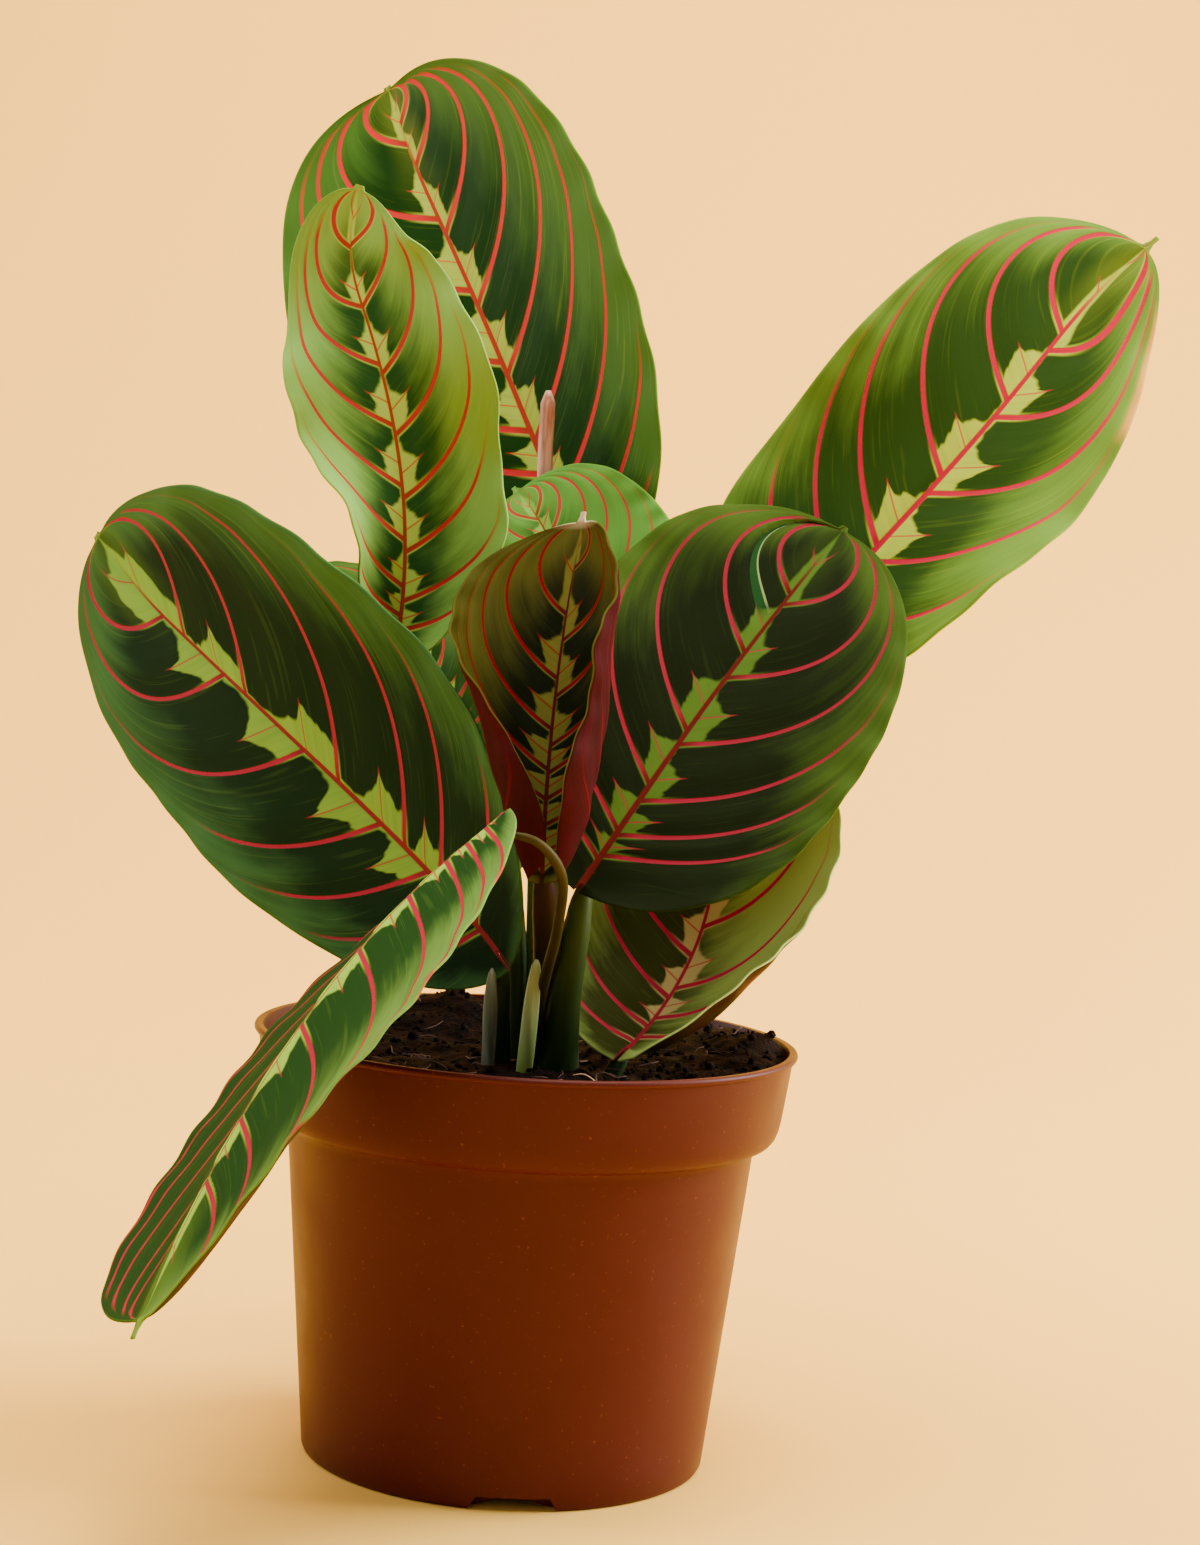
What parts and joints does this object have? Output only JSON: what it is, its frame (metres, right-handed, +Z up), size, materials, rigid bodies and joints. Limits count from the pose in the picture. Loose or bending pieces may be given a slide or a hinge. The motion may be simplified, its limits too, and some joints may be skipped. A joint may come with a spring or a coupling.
{
  "type": "potted prayer plant",
  "caption": "A young prayer plant with red-veined, feather-marked oval leaves on short stalks, in a round terracotta-coloured plastic nursery pot of dark peat soil.",
  "frame": {"origin": "centre of the pot's flat foot, on the ground", "axes": "+Z up from the pot's foot; +X to the viewer's right; +Y away from the viewer, to the back of the plant"},
  "size_m": [0.2549, 0.2439, 0.3229],
  "materials": {
    "pot_plastic": "terracotta-coloured moulded plastic with a satin sheen",
    "soil_peat": "dark, crumbly, slightly moist peat",
    "leaf_dark": "satin dark green blade with a yellow-green feather along the midrib and red veins",
    "leaf_light": "satin mid green blade with a pale feather along the midrib and red veins",
    "leaf_young": "satin olive-brown young blade with pink-red veins and a crimson underside",
    "stalk": "smooth green to maroon stalks",
    "new_leaf": "smooth pale pink-red rolled blade",
    "dry_sheath": "dry papery sheath, pale buff",
    "green_sheath": "thin fresh sheath, light green with a whitish tip"
  },
  "bodies": {
    "root": {"pot": "pot_plastic", "soil": "soil_peat", "leaf_top_back": "leaf_dark", "leaf_top_left": "leaf_light", "leaf_right": "leaf_dark", "leaf_big_left": "leaf_dark", "leaf_centre_right": "leaf_dark", "leaf_cupped": "leaf_young", "leaf_small_arched": "leaf_light", "leaf_drooping": "leaf_light", "leaf_lower_right": "leaf_young", "leaf_behind_left": "leaf_dark", "leaf_low_back": "leaf_light", "stalks": "stalk", "new_leaf": "new_leaf", "dry_sheath": "dry_sheath", "green_sheath": "green_sheath"}
  },
  "joints": []
}
